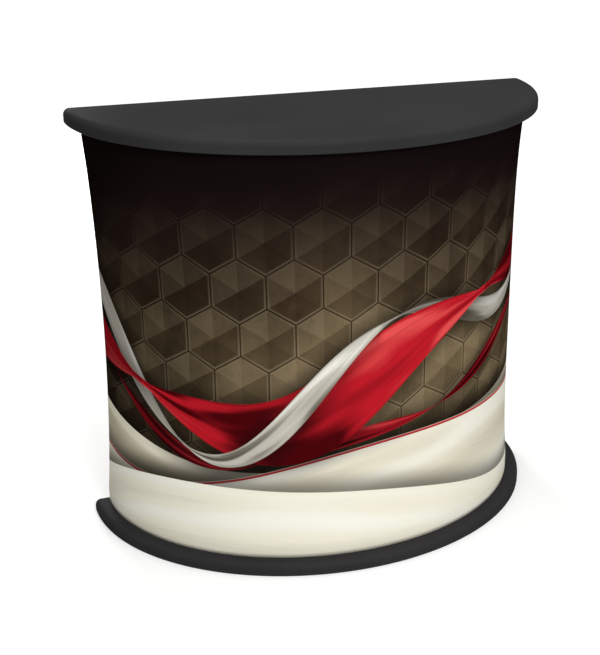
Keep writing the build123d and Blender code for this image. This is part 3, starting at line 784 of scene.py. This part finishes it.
def make_fabric(materials):
    """Closed thin shell: the printed outer side, the white inner side and the cut edges."""
    outer, along = fabric_surface()
    inner = outer - grid_normals(outer) * FABRIC_THICKNESS
    inner[:, :, 2] = outer[:, :, 2]
    rows, columns = outer.shape[:2]
    vertices = np.concatenate([outer.reshape(-1, 3), inner.reshape(-1, 3)])
    count = rows * columns
    faces, slots = [], []
    for row in range(rows - 1):
        for column in range(columns - 1):
            first = row * columns + column
            quad = (first, first + 1, first + columns + 1, first + columns)
            faces.append(quad)
            faces.append(tuple(count + corner for corner in reversed(quad)))
            slots += [0, 1]
    border = list(range(columns))
    border += [row * columns + columns - 1 for row in range(1, rows)]
    border += [(rows - 1) * columns + column for column in range(columns - 2, -1, -1)]
    border += [row * columns for row in range(rows - 2, 0, -1)]
    for first, second in zip(border, border[1:] + border[:1]):
        faces.append((second, first, count + first, count + second))
        slots.append(1)
    made = new_object("graphic_fabric", vertices, faces, materials)
    made.data.polygons.foreach_set("material_index", slots)

    # The print's map: how far along the plan, and how far up
    heights = np.repeat((outer[:, 0, 2] - FABRIC_LOW) / (FABRIC_HIGH - FABRIC_LOW), columns)
    uv = np.stack([np.tile(along.ravel(), 2), np.tile(heights, 2)], axis=1)
    loops = np.zeros(len(made.data.loops), dtype=np.int32)
    made.data.loops.foreach_get("vertex_index", loops)
    made.data.uv_layers.new(name=PRINT_MAP).data.foreach_set("uv", uv[loops].ravel())
    return made


# Stitching


def stitch(start, end, out):
    """Corners and faces of one stitch: a thread that comes up out of the cloth and dips back in."""
    side = (end - start).normalized().cross(out)
    corners = []
    for share, height, girth in STITCH_RINGS:
        middle = start.lerp(end, share) + out * (THREAD_RISE * height)
        for turn in range(STITCH_SIDES):
            angle = math.tau * turn / STITCH_SIDES
            way = side * math.cos(angle) + out * math.sin(angle)
            corners.append(middle + way * (THREAD_RADIUS * girth))
    faces = [tuple(range(STITCH_SIDES))]
    for ring in range(len(STITCH_RINGS) - 1):
        low, high = ring * STITCH_SIDES, (ring + 1) * STITCH_SIDES
        for turn in range(STITCH_SIDES):
            after = (turn + 1) % STITCH_SIDES
            faces.append((low + turn, high + turn, high + after, low + after))
    faces.append(tuple(reversed(range(len(corners) - STITCH_SIDES, len(corners)))))
    return corners, faces


def read_at(place, reached, values):
    """Point or normal at a place along a row, between those that it gives."""
    return Vector([np.interp(place, reached, column) for column in values.T])


def stitch_rows(name, rows, material):
    """One piece of all the stitches along some rows; a row is a list of points and outward normals."""
    vertices, faces = [], []
    for points, normals in rows:
        points, normals = np.array(points), np.array(normals)
        reached = lengths_along(points)
        for number in range(int(reached[-1] / STITCH_PITCH)):
            first = (number + STITCH_GAP_SHARE / 2) * STITCH_PITCH
            last = (number + 1 - STITCH_GAP_SHARE / 2) * STITCH_PITCH
            start, end = (read_at(place, reached, points) for place in (first, last))
            out = read_at((first + last) / 2, reached, normals).normalized()
            corners, quads = stitch(start, end, out)
            faces += [tuple(len(vertices) + corner for corner in quad) for quad in quads]
            vertices += corners
    return new_object(name, vertices, faces, [material])


def level_row(z):
    """Row of stitches round the fabric's outer side at a level, clear of its two free edges."""
    points = plan_at(z)
    reached = lengths_along(points)
    places = np.arange(TAPE_SETBACK, reached[-1] - TAPE_SETBACK, ROW_STEP)
    x, y = (np.interp(places, reached, points[:, axis]) for axis in (0, 1))
    run = np.column_stack([np.gradient(x), np.gradient(y)])
    run /= np.linalg.norm(run, axis=1)[:, None]
    flat = np.zeros(len(x))
    return np.column_stack([x, y, flat + z]), np.column_stack([run[:, 1], -run[:, 0], flat])


def upright_row(x, y, out_y):
    """Row of stitches up a free edge."""
    low, high = FABRIC_LOW + HEM_ROW_SETBACK, FABRIC_HIGH - HEM_ROW_SETBACK
    return [(x, y, low), (x, y, high)], [(0, out_y, 0), (0, out_y, 0)]


# Leaf springs


def rounded_path(corners):
    """Points along straight runs joined by arcs, spaced about one step apart all along."""
    points = [Vector(corners[0])]
    for before, corner, after in zip(corners, corners[1:], corners[2:]):
        corner = Vector(corner)
        back, ahead = (Vector(before) - corner).normalized(), (Vector(after) - corner).normalized()
        half = back.angle(ahead) / 2
        centre = corner + (back + ahead).normalized() * (SPRING_BEND_RADIUS / math.sin(half))
        reach = SPRING_BEND_RADIUS / math.tan(half)
        first, last = (corner + way * reach - centre for way in (back, ahead))
        turn = first.angle_signed(last)
        for number in range(SPRING_BEND_STEPS + 1):
            angle = -turn * number / SPRING_BEND_STEPS
            cos, sin = math.cos(angle), math.sin(angle)
            turned = Vector((first.x * cos - first.y * sin, first.x * sin + first.y * cos))
            points.append(centre + turned)
    points.append(Vector(corners[-1]))
    spaced = [points[0]]
    for before, after in zip(points, points[1:]):
        count = max(1, round((after - before).length / SPRING_STEP))
        spaced += [before.lerp(after, number / count) for number in range(1, count + 1)]
    return spaced


def make_spring(name, middle, heading, up, material):
    """Bent strip about the button's level: heading is the way the button faces, up is off the bend."""
    path = rounded_path(SPRING_CORNERS)
    thick, wide, edge = SPRING_THICKNESS / 2, SPRING_WIDTH / 2, SPRING_EDGE
    section = [
        (thick, wide - edge), (thick - edge, wide), (edge - thick, wide), (-thick, wide - edge),
        (-thick, edge - wide), (edge - thick, -wide), (thick - edge, -wide), (thick, edge - wide),
    ]
    across = heading.cross(up)
    vertices, faces = [], []
    for number, point in enumerate(path):
        run = path[min(number + 1, len(path) - 1)] - path[max(number - 1, 0)]
        normal = Vector((run.y, -run.x)).normalized()
        for off, side in section:
            flat = point + normal * off
            vertices.append(middle + heading * flat.x + up * flat.y + across * side)
    corners = len(section)
    for ring in range(len(path) - 1):
        low, high = ring * corners, (ring + 1) * corners
        for corner in range(corners):
            after = (corner + 1) % corners
            faces.append((low + corner, high + corner, high + after, low + after))
    faces.append(tuple(range(corners)))
    faces.append(tuple(reversed(range(len(vertices) - corners, len(vertices)))))
    return new_object(name, vertices, faces, [material], smooth=False)


# Stage


def aim(thing, place, target):
    thing.location = place
    thing.rotation_euler = (Vector(target) - Vector(place)).to_track_quat("-Z", "Y").to_euler()


def make_camera():
    data = bpy.data.cameras.new("camera")
    camera = bpy.data.objects.new("camera", data)
    bpy.context.collection.objects.link(camera)
    direction = Vector((
        math.sin(CAMERA_YAW) * math.cos(CAMERA_PITCH),
        math.cos(CAMERA_YAW) * math.cos(CAMERA_PITCH),
        math.sin(CAMERA_PITCH),
    ))
    aim(camera, CAMERA_PLACE, Vector(CAMERA_PLACE) + direction)
    data.sensor_width = SENSOR
    data.lens = FOCAL_PIXELS * SENSOR / IMAGE_HEIGHT
    data.shift_x = (IMAGE_WIDTH / 2 - PRINCIPAL_X) / IMAGE_HEIGHT
    data.shift_y = (PRINCIPAL_Y - IMAGE_HEIGHT / 2) / IMAGE_HEIGHT
    bpy.context.scene.camera = camera


def make_lamp(name, place, size, power):
    data = bpy.data.lights.new(name, "AREA")
    data.shape = "DISK"
    data.size = size
    data.energy = power
    lamp = bpy.data.objects.new(name, data)
    bpy.context.collection.objects.link(lamp)
    aim(lamp, place, LAMP_TARGET)


def seen_rays(tree):
    """1 for rays that show the stage itself: seen directly, mirrored or through something clear."""
    path = tree.nodes.new("ShaderNodeLightPath")
    camera, clear, mirrored = (
        Term(tree, path.outputs[f"Is {kind} Ray"]) for kind in ("Camera", "Transmission", "Glossy")
    )
    return camera.most(clear).most(mirrored)


def make_floor():
    """Pale floor that looks brighter than it lights, most of all far off, at the background."""
    material, tree, shader = new_material("floor")
    place = object_place(tree)
    cloud = noise(tree, place, 1.2, detail=3.0)
    feed(tree, shader.inputs["Base Color"], mix(tree, cloud, srgb(208, 208, 207), srgb(214, 214, 213)))
    shader.inputs["Roughness"].default_value = 0.85
    shader.inputs["Specular IOR Level"].default_value = 0.1
    shader.inputs["Emission Color"].default_value = WHITE
    away = tree.nodes.new("ShaderNodeVectorMath")
    away.operation = "LENGTH"
    tree.links.new(place, away.inputs[0])
    far = Term(tree, away.outputs["Value"]).ramp(*FLOOR_NEAR_AND_FAR)
    glow = far * (FLOOR_FAR_GLOW - FLOOR_NEAR_GLOW) + FLOOR_NEAR_GLOW
    feed(tree, shader.inputs["Emission Strength"], seen_rays(tree) * glow)
    half = FLOOR_HALF_SIZE
    corners = [(-half, -half, 0.0), (half, -half, 0.0), (half, half, 0.0), (-half, half, 0.0)]
    floor = new_object("floor", corners, [(0, 1, 2, 3)], [material], smooth=False)


def make_world():
    world = bpy.data.worlds.new("world")
    bpy.context.scene.world = world
    world.use_nodes = True
    tree = world.node_tree
    background = tree.nodes["Background"]
    background.inputs["Color"].default_value = WHITE
    feed(tree, background.inputs["Strength"], seen_rays(tree) * (1.0 - WORLD_LIGHT) + WORLD_LIGHT)


make_camera()
make_world()
make_floor()
for name, place, size, power in LAMPS:
    make_lamp(name, place, size, power)

# Finishes of the CAD pieces, by the record's material slot
MATERIALS = {
    "cover_plastic": cover_plastic(),
    "plywood": plywood(),
    "foot_rubber": mottled("foot_rubber", srgb(24, 24, 24), srgb(34, 34, 34), scale=40.0, roughness=0.8),
    "screw_steel": steel("screw_steel", srgb(196, 186, 150), srgb(222, 216, 196), 0.3),
    "aluminium": aluminium("aluminium", (900.0, 900.0, 12.0)),
    "tape_black": tape(),
    "hem_fabric": hem_fabric(),
    "shelf_laminate": laminate(),
    "edge_band": mottled("edge_band", srgb(30, 30, 31), srgb(38, 38, 39), scale=30.0, roughness=0.4),
    "socket_plastic": mottled(
        "socket_plastic", srgb(20, 20, 21), srgb(32, 32, 33), scale=25.0, roughness=0.45, spread=0.1,
        grain=0.05 * MM,
    ),
    "button_steel": steel("button_steel", srgb(208, 209, 211), srgb(228, 229, 231), 0.18),
    "spring_steel": steel("spring_steel", srgb(140, 141, 146), srgb(170, 171, 176), 0.32),
}
rail_strip = aluminium("aluminium_strip", (10.0, 10.0, 1100.0))
slot_of = {part["node"]: part["material_slot"] for part in frame["record"]["subparts"]}
for node, cad_piece in frame["nodes"].items():
    material = rail_strip if node.endswith("_rail") else MATERIALS.get(slot_of[node])
    if material:
        cad_piece.data.materials.clear()
        cad_piece.data.materials.append(material)

picture_group = print_group()
fabric = make_fabric([printed_fabric(picture_group), fabric_back(picture_group)])
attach(fabric, "root")
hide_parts("graphic_wrap")

# Seams: both edges of each loop tape, and both edges of each hem, outside and inside
pale_thread = thread("pale_thread", srgb(206, 200, 184), srgb(232, 228, 214))
dark_thread = thread("dark_thread", srgb(20, 18, 17), srgb(36, 33, 31))
black_thread = thread("black_thread", srgb(5, 4, 4), srgb(10, 8, 8))
sewn = []
for level, used_thread in (("base", pale_thread), ("top", black_thread)):
    tape_low, tape_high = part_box(f"wrap_{level}_loop_tape")
    rows = [level_row(z) for z in (tape_low.z + ROW_FROM_TAPE_EDGE, tape_high.z - ROW_FROM_TAPE_EDGE)]
    sewn.append(stitch_rows(f"{level}_tape_stitching", rows, used_thread))
for side in ("left", "right"):
    edge_low, edge_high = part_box(f"wrap_hem_{side}")
    places = (edge_low.x + ROW_FROM_HEM_EDGE, edge_high.x - ROW_FROM_HEM_EDGE)
    outside = [upright_row(x, BACK_Y - FABRIC_BACK_INSET, 1) for x in places]
    inside = [upright_row(x, edge_low.y, -1) for x in places]
    sewn.append(stitch_rows(f"hem_stitching_{side}", outside, dark_thread))
    sewn.append(stitch_rows(f"hem_stitching_inside_{side}", inside, pale_thread))
for seam in sewn:
    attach(seam, "root")

# Springs: one for each button, and it stays on the far wall of its upright
for joint in frame["joints"]:
    button = joint["child"]
    level = button.split("_")[0]
    tube_low, tube_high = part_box(button.replace(f"{level}_button", "lower_tube"))
    button_low, button_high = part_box(button)
    heading = -Vector(joint["axis"])
    up = Vector((0, 0, -1 if level == "top" else 1))
    middle = (tube_low + tube_high) / 2
    middle.z = (button_low.z + button_high.z) / 2
    spring_name = button.replace("button", "spring")
    spring = make_spring(spring_name, middle, heading, up, MATERIALS["spring_steel"])
    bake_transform(spring)
    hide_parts(f"{level}_button_springs")

bpy.context.scene.view_settings.view_transform = "Standard"
